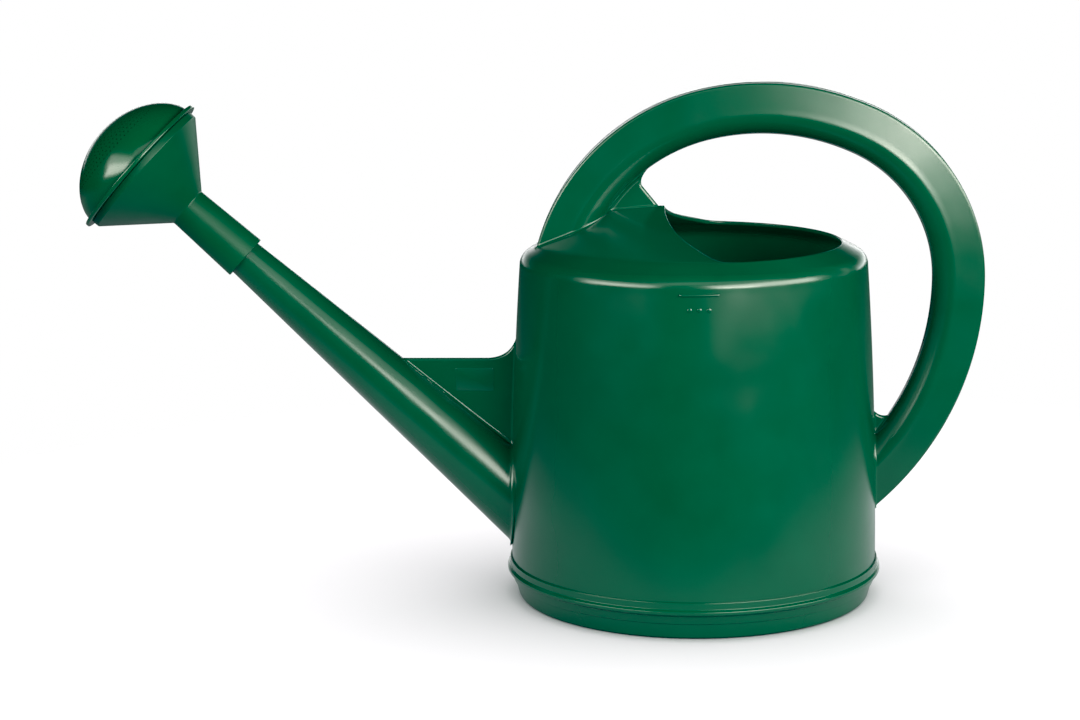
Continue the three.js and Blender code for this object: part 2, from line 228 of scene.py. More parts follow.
def flare(gap, radius):
    """How far a fillet of that radius stands out at a distance gap from the wall it meets."""
    near = np.clip(1 - gap / radius, 0, 1)
    return radius * (1 - np.sqrt(1 - near ** 2))


# ---------------------------------------------------------------- tank surface
def wall_radius(z):
    rise = np.maximum(0, (z - WALL_FOOT[1]) / (WALL_HEAD[1] - WALL_FOOT[1]))
    return WALL_FOOT[0] - (WALL_FOOT[0] - WALL_HEAD[0]) * rise ** WALL_BULGE


SHOULDER_R = float(wall_radius(SHOULDER_START)) - SHOULDER_FILLET
SHOULDER_Z = (
    RIM_Z + (RIM_RADIUS - SHOULDER_R) * math.tan(ROOF_SLOPE) - SHOULDER_FILLET / math.cos(ROOF_SLOPE)
)


def shoulder_arc(offset, drop, steps):
    """The rounded corner between wall and roof, offset outwards and dropped upright."""
    fillet = SHOULDER_FILLET + offset
    centre_z = SHOULDER_Z + (SHOULDER_FILLET - fillet) / math.cos(ROOF_SLOPE) - drop
    angles = np.linspace(0, math.pi / 2 - ROOF_SLOPE, steps)
    return [(SHOULDER_R + fillet * math.cos(a), centre_z + fillet * math.sin(a)) for a in angles]


def opening_radius(phi):
    """Distance from the tank's axis to the edge of the fill opening, in direction phi."""
    centre, front = OPENING_FRONT
    inner, outer = OPENING_RADIUS - OPENING_CORNER, front - OPENING_CORNER
    corner_x = (inner ** 2 - outer ** 2 + centre ** 2) / (2 * centre)
    corner_y = math.sqrt(inner ** 2 - corner_x ** 2)
    rim_angle = math.atan2(corner_y, corner_x)
    turn = math.atan2(corner_y, corner_x - centre)
    meets_front = math.atan2(front * math.sin(turn), centre + front * math.cos(turn))
    side = np.abs((phi + math.pi) % (2 * math.pi) - math.pi)
    cos, sin = np.cos(side), np.sin(side)
    to_front = centre * cos + np.sqrt(front ** 2 - (centre * sin) ** 2)
    across = corner_x * sin - corner_y * cos
    to_corner = corner_x * cos + corner_y * sin + np.sqrt(np.maximum(OPENING_CORNER ** 2 - across ** 2, 0))
    return np.where(side < rim_angle, OPENING_RADIUS, np.where(side < meets_front, to_corner, to_front))


def ridge_height(x):
    slope = (RIDGE_FRONT[1] - RIM_Z) / (RIDGE_FRONT[0] + RIM_RADIUS)
    climb = RIM_Z + slope * (x + RIM_RADIUS)
    along = np.clip((x - RIDGE_FRONT[0]) / (RIDGE_PEAK[0] - RIDGE_FRONT[0]), 0, 1)
    ease = RIDGE_PEAK[1] - (RIDGE_PEAK[1] - RIDGE_FRONT[1]) * (1 - along) ** 2
    out = RIDGE_PEAK[1] + (RIM_Z - RIDGE_PEAK[1]) * smoothstep(x, 0, RIDGE_END)
    return np.where(x < RIDGE_FRONT[0], climb, np.where(x < RIDGE_PEAK[0], ease, out))


def soft_size(y):
    return np.sqrt(y ** 2 + RIDGE_SOFTNESS ** 2) - RIDGE_SOFTNESS


def hood_height(x, y):
    """The hood is ruled from the rim circle, on each side, to the ridge."""
    half = np.sqrt(np.maximum(RIM_RADIUS ** 2 - x ** 2, 1e-6))
    inward = np.maximum(0, 1 - soft_size(y) / np.maximum(soft_size(half), 1e-6))
    return RIM_Z + (ridge_height(x) - RIM_Z) * inward ** HOOD_HOLLOW


def cone_height(radius):
    return RIM_Z + (RIM_RADIUS - radius) * math.tan(ROOF_SLOPE)


def roof_height(phi, radius):
    """Top of the roof: the cone outside the rim circle, the hood inside it, softly joined."""
    span = RIM_SOFTNESS * smoothstep(RIM_RADIUS - opening_radius(phi), 1, 14)
    span = np.maximum(span, 1e-3)

    def hood(at):
        return hood_height(at * np.cos(phi), at * np.sin(phi))

    sharp = np.where(radius > RIM_RADIUS, cone_height(radius), hood(radius))
    share = np.clip((RIM_RADIUS + span - radius) / (2 * span), 0, 1)
    low, high = cone_height(RIM_RADIUS + span), hood(RIM_RADIUS - span)
    soft = low * (1 - share) ** 2 + 2 * RIM_Z * share * (1 - share) + high * share ** 2
    return np.where(np.abs(radius - RIM_RADIUS) < span, soft, sharp)


def tank_gap(points):
    """Signed distance of points from the outside of the tank, positive outside."""
    x, y, z = np.moveaxis(np.asarray(points), -1, 0)
    radius, phi = np.hypot(x, y), np.arctan2(y, x)
    turn = np.arctan2(z - SHOULDER_Z, radius - SHOULDER_R)
    from_wall = radius - wall_radius(np.minimum(z, SHOULDER_START))
    from_roof = (z - roof_height(phi, radius)) * math.cos(ROOF_SLOPE)
    from_arc = np.hypot(z - SHOULDER_Z, radius - SHOULDER_R) - SHOULDER_FILLET
    on_arc = (turn > 0) & (turn < math.pi / 2 - ROOF_SLOPE)
    return np.where(on_arc, from_arc, np.maximum(from_wall, from_roof))


def tank_mesh():
    """Outer skin, rolled lip and inner skin, as one grid of rows round the axis."""
    phi = np.linspace(0, 2 * math.pi, TANK_COLUMNS, endpoint=False)
    edge = opening_radius(phi)
    rows = []

    def ring(radius, z):
        rows.append((np.broadcast_to(radius, phi.shape), np.broadcast_to(z, phi.shape)))

    for z in np.linspace(SHELL_BOTTOM, SHOULDER_START - 4, 40):
        ring(wall_radius(z), z)
    outer_arc = shoulder_arc(0, 0, 14)
    for radius, z in outer_arc:
        ring(radius, z)
    first = outer_arc[-1][0]
    last = edge + LIP_ROUND
    for share in np.linspace(0, 1, 46)[1:]:
        radius = first + (last - first) * share
        ring(radius, roof_height(phi, radius))
    for angle in np.linspace(0, math.pi / 2, 5)[1:]:
        radius = edge + LIP_ROUND * (1 - math.sin(angle))
        ring(radius, roof_height(phi, radius) - LIP_ROUND * (1 - math.cos(angle)))
    for angle in np.linspace(math.pi / 2, 0, 5)[:-1]:
        radius = edge + LIP_ROUND * (1 - math.sin(angle))
        ring(radius, roof_height(phi, radius) - ROOF_THICKNESS + LIP_ROUND * (1 - math.cos(angle)))
    inner_arc = shoulder_arc(-WALL, ROOF_THICKNESS, 8)
    back = inner_arc[-1][0]
    for share in np.linspace(0, 1, 24)[:-1]:
        radius = last + (back - last) * share
        ring(radius, roof_height(phi, radius) - ROOF_THICKNESS)
    for radius, z in reversed(inner_arc):
        ring(radius, z)
    for z in np.linspace(SHOULDER_START - 12, SHELL_BOTTOM, 16):
        ring(wall_radius(z) - WALL, z)
    radii = np.array([row[0] for row in rows])
    heights = np.array([row[1] for row in rows])
    vertices = np.stack((radii * np.cos(phi), radii * np.sin(phi), heights), -1).reshape(-1, 3)
    return vertices, grid_faces(len(rows), TANK_COLUMNS, True, True)


def cut_spout_hole(tank):
    """Opens the tank wall where the spout's bore meets it."""
    inside, outside = HOLE_REACH
    bore = [
        (0, inside),
        (spout_radius(inside) - SPOUT_WALL, inside),
        (spout_radius(outside) - SPOUT_WALL, outside),
        (0, outside),
    ]
    vertices, faces = lathe(bore, 96)
    cutter = add_piece(
        "bore_cutter", onto_spout(vertices), faces, tank.data.materials[0], "can", (), "can_plastic"
    )
    cut = tank.modifiers.new("spout hole", "BOOLEAN")
    cut.operation = "DIFFERENCE"
    cut.solver = "EXACT"
    cut.object = cutter
    shape = tank.evaluated_get(bpy.context.evaluated_depsgraph_get())
    holed = bpy.data.meshes.new_from_object(shape)
    tank.modifiers.clear()
    tank.data = holed
    bpy.data.objects.remove(cutter)


# ---------------------------------------------------------------- fill mark
def on_wall(x, z, lift):
    """Points on the near side of the wall, lifted out from it."""
    radius = wall_radius(z) + lift
    return np.stack((x, -np.sqrt(radius ** 2 - x ** 2), z), -1)


def ridge_on_wall(line, width, proud):
    """A low rounded ridge along a line of (x, z) points on the near side of the wall."""
    line = np.array(line, float)
    ahead = np.gradient(line, axis=0)
    ahead /= np.linalg.norm(ahead, axis=1)[:, None]
    aside = np.stack((-ahead[:, 1], ahead[:, 0]), -1)
    section = [(-0.5, -0.4), (-0.46, 0.55), (-0.3, 1), (0.3, 1), (0.46, 0.55), (0.5, -0.4)]
    flats = [(line + aside * width * share, lift * proud) for share, lift in section]
    rings = [on_wall(flat[:, 0], flat[:, 1], lift) for flat, lift in flats]
    count = len(section)
    faces = grid_faces(len(line), count, False, True).tolist()
    end = (len(line) - 1) * count
    return np.stack(rings, 1).reshape(-1, 3), faces + [list(range(count)), [end + i for i in range(count)]]


def dot_on_wall(x, z, size, proud):
    """A low round stud on the near side of the wall."""
    turn = np.linspace(0, 2 * math.pi, 24, endpoint=False)
    section = [(1.0, -0.4), (0.95, 0.5), (0.75, 0.85), (0.4, 1.0)]
    rings = [
        on_wall(x + size * share * np.cos(turn), z + size * share * np.sin(turn), lift * proud)
        for share, lift in section
    ]
    faces = grid_faces(len(section), len(turn), False, True).tolist()
    end = (len(section) - 1) * len(turn)
    caps = [list(range(len(turn))), [end + i for i in range(len(turn))]]
    return np.concatenate(rings), faces + caps


def joined(parts):
    vertices, faces = [], []
    for part_vertices, part_faces in parts:
        start = sum(len(v) for v in vertices)
        vertices.append(np.asarray(part_vertices))
        faces += [[int(i) + start for i in face] for face in part_faces]
    return np.concatenate(vertices), faces


def fill_mark_mesh():
    """A level bar with three studs under it."""
    bar = ridge_on_wall(np.linspace((BAR_LEFT, BAR_LEVEL), (BAR_RIGHT, BAR_LEVEL), 16), 1.6, 0.8)
    middle = (BAR_LEFT + BAR_RIGHT) / 2
    studs = [
        dot_on_wall(middle + aside, BAR_LEVEL - STUD_DROP, 1.5, 0.4)
        for aside in (-STUD_PITCH, 0, STUD_PITCH)
    ]
    return joined([bar, *studs])


# ---------------------------------------------------------------- base
def base_mesh():
    """Foot ring, groove, bead, rim band and the channel that the wall stands in."""
    return lathe(rounded([
        (0, 2, 0),
        (95.4, 2, 0.8),
        (97.2, 0, 0.8),
        (105.7, 0, 1.0),
        (106.9, 1.0, 1.2),
        (108.9, 8.5, 0.4),
        (109.0, 9.2, 0.2),
        (110.0, 9.7, 0.4),
        (111.2, 14.3, 0.9),
        (BEAD_RADIUS, 16.0, 0.7),
        (BEAD_RADIUS, 17.7, 0.7),
        (112.0, 18.7, 0.5),
        (112.1, 22.8, 0.8),
        (111.1, 22.8, 0.15),
        (111.1, 17.0, 0),
        (108.4, 17.0, 0),
        (108.4, 22.8, 0.15),
        (107.3, 22.8, 0.4),
        (103.5, 7.5, 3),
        (98, 4.5, 5),
        (0, 4.5, 0),
    ]), 360)


# ---------------------------------------------------------------- spout
def spout_radius(t):
    return SPOUT_ROOT_RADIUS - SPOUT_TAPER * t


def spout_mesh():
    """A tapered tube whose root is trimmed to the tank, with a fillet, a rounded tip and a bore."""
    columns = 160
    theta = np.linspace(0, 2 * math.pi, columns, endpoint=False)
    around = np.stack((np.cos(theta), np.sin(theta)), -1)
    reach = np.linspace(-32, 80, 1500)

    def skin(t, radius):
        across, up = radius * around[:, 0], radius * around[:, 1]
        return onto_spout(np.stack((across, up, np.broadcast_to(t, theta.shape)), -1))

    gaps = np.array([tank_gap(skin(t, spout_radius(t))) for t in reach])
    start = np.array([np.interp(-EMBED, gaps[:, j], reach) for j in range(columns)])
    rows = []
    near = [0, 0.35, 0.7, 1.1, 1.6, 2.2, 3, 4, 5.2, 7, 9.5, 13]
    for step in near:
        t = start + step
        radius = spout_radius(t)
        radius = radius + flare(np.maximum(tank_gap(skin(t, radius)), 0), SPOUT_FILLET)
        rows.append(skin(t, radius))
    free = start + near[-1]
    for share in np.linspace(0, 1, 60)[1:]:
        t = free + (SPIGOT_START - free) * share
        rows.append(skin(t, spout_radius(t)))
    tip = spout_radius(SPIGOT_START)
    bore_tip = tip - SPOUT_WALL
    rows += [skin(t, tip) for t in np.linspace(SPIGOT_START, SPIGOT_END - TIP_ROUND, 6)[1:]]
    for angle in np.linspace(0, math.pi / 2, 4)[1:]:
        back, inward = TIP_ROUND * (1 - math.sin(angle)), TIP_ROUND * (1 - math.cos(angle))
        rows.append(skin(SPIGOT_END - back, tip - inward))
    rows.append(skin(SPIGOT_END, bore_tip + TIP_INNER_ROUND))
    rows.append(skin(SPIGOT_END - TIP_INNER_ROUND, bore_tip))
    rows.append(skin(SPIGOT_START, bore_tip))
    for share in np.linspace(0, 1, 12)[1:]:
        t = SPIGOT_START + (start - SPIGOT_START) * share
        rows.append(skin(t, spout_radius(t) - SPOUT_WALL))
    return np.array(rows).reshape(-1, 3), grid_faces(len(rows), columns, True, True)


# ---------------------------------------------------------------- rose
def funnel_mesh():
    """A thin cone with a push-on sleeve behind it and a short collar in front."""
    profile = rounded([
        (14.15, 216.2, 0.35),
        (12.6, 262.1, 2.0),
        (43.9, 294.4, 0.9),
        (44.1, 298.35, 0.4),
        (44.1 - ROSE_WALL, 298.35, 0.4),
        (42.3, 294.9, 0.6),
        (11.0, 262.9, 2.0),
        (12.6, 216.2, 0.35),
    ])
    vertices, faces = lathe(profile, 220)
    return onto_spout(vertices), faces


def dome_point(angle, radius, height):
    """(radius, height) on a dome, by the angle from its pole."""
    return radius * np.sin(angle), FLANGE_HIGH + height * np.cos(angle) ** DOME_POWER


def dome_length():
    """Angles from the pole and the length along the dome up to each."""
    angle = np.linspace(0, math.radians(86), 500)
    radius, height = dome_point(angle, DOME_RADIUS, DOME_HEIGHT)
    steps = np.hypot(np.diff(radius), np.diff(height))
    return angle, np.concatenate(([0], np.cumsum(steps)))


def drilled_cap():
    """The drilled cap as flat (length from the pole, direction) points: its triangles and hole loops."""
    angle, length = dome_length()
    limit = float(np.interp(HOLE_LIMIT, angle, length))
    edge_length = limit + 2.2

    def true_radius(s):
        return DOME_RADIUS * math.sin(float(np.interp(s, length, angle)))

    centres = [(0.0, 0.0)]
    for ring in range(1, int(limit / HOLE_PITCH) + 1):
        s = ring * HOLE_PITCH
        count = max(6, round(2 * math.pi * true_radius(s) / HOLE_PITCH))
        offset = 0.5 * (ring % 2)
        centres += [(s, 2 * math.pi * (i + offset) / count) for i in range(count)]
    points, edges, owner = [], [], []

    def loop(ring_points, mark):
        first = len(points)
        for i, point in enumerate(ring_points):
            points.append(Vector(point))
            owner.append(mark)
            edges.append((first + i, first + (i + 1) % len(ring_points)))

    rim = np.linspace(0, 2 * math.pi, 160, endpoint=False)
    loop([(edge_length * math.cos(a), edge_length * math.sin(a)) for a in rim], -1)
    for number, (s, direction) in enumerate(centres):
        squeeze = s / true_radius(s) if s else 1.0
        outline = []
        for k in range(HOLE_SIDES):
            turn = 2 * math.pi * k / HOLE_SIDES
            out, side = HOLE_RADIUS * math.cos(turn), HOLE_RADIUS * math.sin(turn) * squeeze
            cos, sin = math.cos(direction), math.sin(direction)
            outline.append(((s + out) * cos - side * sin, (s + out) * sin + side * cos))
        loop(outline, number)
    holes = np.array([(s * math.cos(d), s * math.sin(d)) for s, d in centres])
    golden = math.pi * (3 - math.sqrt(5))
    fill = 2600
    for k in range(fill):
        s = (edge_length - 0.7) * math.sqrt((k + 0.5) / fill)
        point = np.array((s * math.cos(k * golden), s * math.sin(k * golden)))
        if np.min(np.hypot(*(holes - point).T)) > 1.25 * HOLE_RADIUS + 0.3:
            points.append(Vector(point))
            owner.append(-2)
    flat, _, triangles, origins, _, _ = geometry.delaunay_2d_cdt(points, edges, [], 0, 1e-6)
    mark = [owner[source[0]] if source else -2 for source in origins]
    kept = [t for t in triangles if not (mark[t[0]] >= 0 and mark[t[0]] == mark[t[1]] == mark[t[2]])]
    return np.array([tuple(p) for p in flat]), kept, mark, edge_length


def face_mesh():
    """Perforated dome with a flange and a skirt. The drilled cap is two skins joined at every hole."""
    flat, triangles, mark, edge_length = drilled_cap()
    angles, lengths = dome_length()
    inner_radius, inner_height = DOME_RADIUS - DOME_WALL, DOME_HEIGHT - DOME_WALL
    length = np.hypot(*flat.T)
    direction = np.arctan2(flat[:, 1], flat[:, 0])
    angle = np.interp(length, lengths, angles)

    def skin(radius, height):
        r, z = dome_point(angle, radius, height)
        return np.stack((r * np.cos(direction), r * np.sin(direction), z), -1)

    count = len(flat)
    vertices = np.concatenate((skin(DOME_RADIUS, DOME_HEIGHT), skin(inner_radius, inner_height)))
    faces = [list(t) for t in triangles] + [[i + count for i in reversed(t)] for t in triangles]
    for t in triangles:
        for a, b in ((t[0], t[1]), (t[1], t[2]), (t[2], t[0])):
            if mark[a] >= 0 and mark[a] == mark[b]:
                faces.append([b, a, a + count, b + count])
    limit = float(np.interp(edge_length, lengths, angles))
    down = np.linspace(limit, math.radians(88), 22)
    outer = [dome_point(a, DOME_RADIUS, DOME_HEIGHT) for a in down]
    inner = [dome_point(a, inner_radius, inner_height) for a in reversed(down)]
    ledge = rounded([
        (DOME_RADIUS, FLANGE_HIGH, 0.5),
        (48.0, FLANGE_HIGH, 0.7),
        (48.0, FLANGE_LOW, 0.7),
        (42.3, FLANGE_LOW, 0.3),
        (42.3, 295.3, 0.5),
        (40.9, 295.3, 0.5),
        (40.9, FLANGE_HIGH, 0.5),
    ])
    profile = np.array(outer + ledge + inner)
    phi = np.linspace(0, 2 * math.pi, 160, endpoint=False)
    ring = np.stack((
        profile[:, 0, None] * np.cos(phi),
        profile[:, 0, None] * np.sin(phi),
        np.repeat(profile[:, 1, None], len(phi), 1),
    ), -1).reshape(-1, 3)
    sides = grid_faces(len(profile), len(phi), False, True)
    vertices, faces = joined([(vertices, faces), (ring, sides)])
    return onto_spout(vertices), faces


# ---------------------------------------------------------------- handle
def handle_arcs():
    centre_x, centre_z = HANDLE_CENTRE
    top_x = centre_x - (HANDLE_TOP - HANDLE_REAR) * math.cos(HANDLE_TOP_FROM)
    top_z = centre_z - (HANDLE_TOP - HANDLE_REAR) * math.sin(HANDLE_TOP_FROM)
    front_x = top_x - (HANDLE_FRONT - HANDLE_TOP) * math.cos(HANDLE_TOP_TO)
    front_z = top_z - (HANDLE_FRONT - HANDLE_TOP) * math.sin(HANDLE_TOP_TO)
    return [
        (front_x, front_z, HANDLE_FRONT, HANDLE_FRONT_END, HANDLE_TOP_TO),
        (top_x, top_z, HANDLE_TOP, HANDLE_TOP_TO, HANDLE_TOP_FROM),
        (centre_x, centre_z, HANDLE_REAR, HANDLE_TOP_FROM, 0.0),
        (centre_x + HANDLE_REAR - HANDLE_LOW, centre_z, HANDLE_LOW, 0.0, HANDLE_LOW_END),
    ]


def along_handle(distance, depth, y):
    """Points at distances along the loop, a depth in from its outer edge, and the outward direction there."""
    arcs = handle_arcs()
    spans = [radius * (start - end) for _, _, radius, start, end in arcs]
    ends = np.cumsum(spans)
    which = np.minimum(np.searchsorted(ends, distance), len(arcs) - 1)
    centre_x, centre_z, radius, start, _ = (np.array([arc[i] for arc in arcs])[which] for i in range(5))
    angle = start - (distance - (ends - spans)[which]) / radius
    out = np.stack((np.cos(angle), np.zeros_like(angle), np.sin(angle)), -1)
    centre = np.stack((centre_x, np.zeros_like(angle), centre_z), -1)
    points = centre + (radius - depth)[..., None] * out
    points[..., 1] = y
    return points, out


def handle_section():
    """(depth, y) round the D: drafted flat sides, a round inner edge and a parting seam outside."""
    face = HANDLE_HALF_WIDTH - HANDLE_FLAT * math.tan(HANDLE_DRAFT)
    corner = rounded([
        (HANDLE_FLAT, HANDLE_HALF_WIDTH, 0),
        (0, face, HANDLE_CORNER),
        (0, -face, HANDLE_CORNER),
        (HANDLE_FLAT, -HANDLE_HALF_WIDTH, 0),
    ])[1:-1]
    half = len(corner) // 2
    sides = np.linspace(0.9, 0.1, 6)
    upper = [(HANDLE_FLAT * s, face + (HANDLE_HALF_WIDTH - face) * s) for s in sides]
    lower = [(depth, -y) for depth, y in reversed(upper)]
    seam_half = [(0, SEAM_MARGIN), (0, SEAM_WIDTH), (-SEAM_HEIGHT, SEAM_TOP)]
    seam = seam_half + [(depth, -y) for depth, y in reversed(seam_half)]
    start = -HANDLE_DRAFT * 0.6
    inner = []
    for turn in np.linspace(start, math.pi - start, 31):
        depth = HANDLE_FLAT + (HANDLE_DEPTH - HANDLE_FLAT) * math.sin(turn)
        inner.append((depth, -HANDLE_HALF_WIDTH * math.cos(turn)))
    near_corner, far_corner = ([tuple(p) for p in part] for part in (corner[:half], corner[half:]))
    return np.array(upper + near_corner + seam + far_corner + lower + inner)


def handle_mesh():
    """The D section swept round the loop, every line of it trimmed to the tank."""
    section = handle_section()
    ahead = np.roll(section, -1, 0) - np.roll(section, 1, 0)
    aside = np.stack((ahead[:, 1], -ahead[:, 0]), -1)
    aside /= np.linalg.norm(aside, axis=1)[:, None]
    centre = section.mean(0)
    if np.sum((section - centre) * aside) < 0:
        aside = -aside
    total = sum(radius * (start - end) for _, _, radius, start, end in handle_arcs())
    near = np.array([0, 0.3, 0.6, 0.95, 1.35, 1.8, 2.4, 3.2, 4.4, 6])
    shares = np.linspace(0, 1, 240)
    lines = []
    for (depth, y), (push_in, push_side) in zip(section, aside):
        probe = np.linspace(0, total, 6000)
        points, _ = along_handle(probe, depth, y)
        gap = tank_gap(points)
        outside = np.flatnonzero(gap > -EMBED)
        middle = np.searchsorted(probe, total / 2)
        inside = np.flatnonzero(gap <= -EMBED)
        first = probe[inside[inside < middle].max() + 1] if np.any(inside < middle) else probe[outside[0]]
        last = probe[inside[inside > middle].min() - 1] if np.any(inside > middle) else probe[outside[-1]]
        middle_part = first + near[-1] + (last - first - 2 * near[-1]) * shares
        distance = np.concatenate((first + near[:-1], middle_part, (last - near[:-1])[::-1]))
        points, out = along_handle(distance, depth, y)
        swell = flare(np.maximum(tank_gap(points), 0), HANDLE_FILLET)[:, None]
        points = points - out * push_in * swell
        points[:, 1] += push_side * swell[:, 0]
        lines.append(points)
    lines = np.array(lines).transpose(1, 0, 2)
    rows, columns = lines.shape[:2]
    vertices = lines.reshape(-1, 3)
    faces = grid_faces(rows, columns, False, True).tolist()
    caps = np.array([lines[0].mean(0), lines[-1].mean(0)])
    start = rows * columns
    for j in range(columns):
        following = (j + 1) % columns
        faces.append([following, j, start])
        faces.append([start - columns + j, start - columns + following, start + 1])
    return np.concatenate((vertices, caps)), faces


# ---------------------------------------------------------------- webs
def bent(points, count):
    """Evenly spaced points along a line of (x, z) corners."""
    points = np.array(points, float)
    steps = np.concatenate(([0], np.cumsum(np.linalg.norm(np.diff(points, axis=0), axis=1))))
    at = np.linspace(0, steps[-1], count)
    return np.stack((np.interp(at, steps, points[:, 0]), np.interp(at, steps, points[:, 1])), -1)


def curve(start, control, end, count=14):
    s = np.linspace(0, 1, count)[:, None]
    start, control, end = (np.array(p, float) for p in (start, control, end))
    return start * (1 - s) ** 2 + 2 * control * s * (1 - s) + end * s ** 2


def web_mesh(free_edge, root_edge, swell):
    """A thin plate ruled from a rounded free edge to a root edge, thicker where it meets its neighbours."""
    turn = np.linspace(math.pi / 2, 0, 7)
    rows = []
    for free, root in zip(free_edge, root_edge):
        along = root - free
        size = max(np.linalg.norm(along), 1e-6)
        along = along / size
        edge_round = min(WEB_HALF, size * 0.4)
        runs = np.concatenate((edge_round * (1 - np.sin(turn)), np.linspace(edge_round, size, 26)[1:]))
        halves = np.concatenate((WEB_HALF * np.cos(turn), np.full(25, WEB_HALF)))
        flat = free + along * runs[:, None]
        points = np.stack((flat[:, 0], np.zeros(len(flat)), flat[:, 1]), -1)
        halves = halves + swell(points) * (runs > edge_round * 0.5)
        side = points.copy()
        side[:, 1] = -halves
        other = points.copy()
        other[:, 1] = halves
        rows.append(np.concatenate((side[::-1], other[1:])))
    rows = np.array(rows)
    count, columns = rows.shape[:2]
    faces = grid_faces(count, columns, False, True).tolist()
    faces.append(list(range(columns)))
    faces.append([(count - 1) * columns + i for i in range(columns)])
    return rows.reshape(-1, 3), faces


def spout_gap(points):
    """Signed distance of points from the outside of the spout."""
    turn = np.array(Matrix.Rotation(SPOUT_ANGLE - math.pi / 2, 3, "Y"))
    local = (np.asarray(points) - SPOUT_ROOT) @ turn
    return np.hypot(local[..., 0], local[..., 1]) - spout_radius(local[..., 2])


def handle_gap(points, arc):
    """Distance of points in the plane of symmetry from the loop's inner edge, by one of its arcs."""
    centre_x, centre_z, radius, _, _ = handle_arcs()[arc]
    return radius - HANDLE_DEPTH - np.hypot(points[..., 0] - centre_x, points[..., 2] - centre_z)


def fillet(gap, radius=WEB_FILLET):
    return flare(np.maximum(gap, 0), radius)


def spout_web_mesh():
    """From the crest of the spout to the tank wall, with a flat top that sweeps up at the wall."""
    top = 144.5
    crest_left = np.array((-176.4, top))
    crest_slope = math.tan(SPOUT_ANGLE - math.atan(SPOUT_TAPER))
    corner_x = -108.6
    corner_z = top - (corner_x - crest_left[0]) * crest_slope
    sweep = curve((-124, top), (-110.5, top + 0.8), (-107.0, 157.5))
    free = np.concatenate(([crest_left, (-124, top)], sweep))
    wall_top = (-wall_radius(157.5) + 0.9, 157.5)
    root = [crest_left + (0, -1.0), (corner_x, corner_z), wall_top]
    count = 90

    def swell(points):
        return fillet(np.minimum(tank_gap(points), spout_gap(points)))

    return web_mesh(bent(free, count), bent(root, count), swell)


def front_web_mesh():
    """Between the hood's ridge and the loop's front arc, with a straight edge that curves into the loop."""
    bend = curve((-30.6, 249.4), (-32.6, 253.4), (-27.0, 259.6))
    free = np.concatenate(([(-19.3, 235.5), (-30.6, 249.4)], bend))
    root = [(-19.3, 234.6), (-49, 233.2), (-66, 226.5), (-34, 268)]
    count = 60

    def swell(points):
        return np.maximum(fillet(tank_gap(points), 0.8), fillet(handle_gap(points, 0), 3))

    return web_mesh(bent(free, count), bent(root, count), swell)


def rear_web_mesh():
    """Between the back of the tank and the loop's lower arc."""
    bend = curve((109.2, 112), (114.5, 106.2), (121.5, 110.8))
    free = np.concatenate(([(107.6, 112.4), (109.2, 112)], bend))
    root = [(107.4, 112.0), (108.0, 90), (121.9, 109.8)]
    count = 40

    def swell(points):
        return fillet(np.minimum(tank_gap(points), handle_gap(points, 3)))

    return web_mesh(bent(free, count), bent(root, count), swell)


def panel_mesh():
    """A faint raised blank rectangle on the spout web's near side."""
    (left, bottom), (right, top) = PANEL_LOW, PANEL_HIGH
    corners = ((left, bottom), (right, bottom), (right, top), (left, top))
    outline = rounded([(*corner, PANEL_CORNER) for corner in corners])
    centre = (np.array(PANEL_LOW) + PANEL_HIGH) / 2
    rings = []
    for y, size in PANEL_STEPS:
        for point in outline:
            x, z = centre + (point - centre) * size
            rings.append((x, y, z))
    count = len(outline)
    faces = grid_faces(len(PANEL_STEPS), count, False, True).tolist()
    return np.array(rings), faces + [list(range(count)), [2 * count + i for i in range(count)]]


# ---------------------------------------------------------------- materials
class Nodes:
    """Short calls for building a material's node tree."""

    def __init__(self, tree):
        self.tree = tree

    def add(self, kind, **settings):
        node = self.tree.nodes.new(kind)
        for key, value in settings.items():
            if hasattr(node, key):
                setattr(node, key, value)
            else:
                node.inputs[key].default_value = value
        return node

    def link(self, source, output, target, entry):
        self.tree.links.new(source.outputs[output], target.inputs[entry])


def noise(nodes, coordinates, scale, detail, roughness):
    made = nodes.add("ShaderNodeTexNoise", Scale=scale, Detail=detail, Roughness=roughness)
    nodes.link(coordinates, "Object", made, "Vector")
    return made


def ranged(nodes, source, low, high, to_low, to_high, output=0):
    """The source's value, mapped from low..high to to_low..to_high and held there beyond them."""
    made = nodes.add("ShaderNodeMapRange")
    for entry, value in (("From Min", low), ("From Max", high), ("To Min", to_low), ("To Max", to_high)):
        made.inputs[entry].default_value = value
    nodes.link(source, output, made, "Value")
    return made


def product(nodes, first, second):
    made = nodes.add("ShaderNodeMath", operation="MULTIPLY")
    nodes.link(first, 0, made, 0)
    nodes.link(second, 0, made, 1)
    return made


def mixed(nodes, share, first, second, output=0):
    """The first shader where the share is 0, the second where it is 1."""
    made = nodes.add("ShaderNodeMixShader")
    nodes.link(share, output, made, 0)
    nodes.link(first, 0, made, 1)
    nodes.link(second, 0, made, 2)
    return made


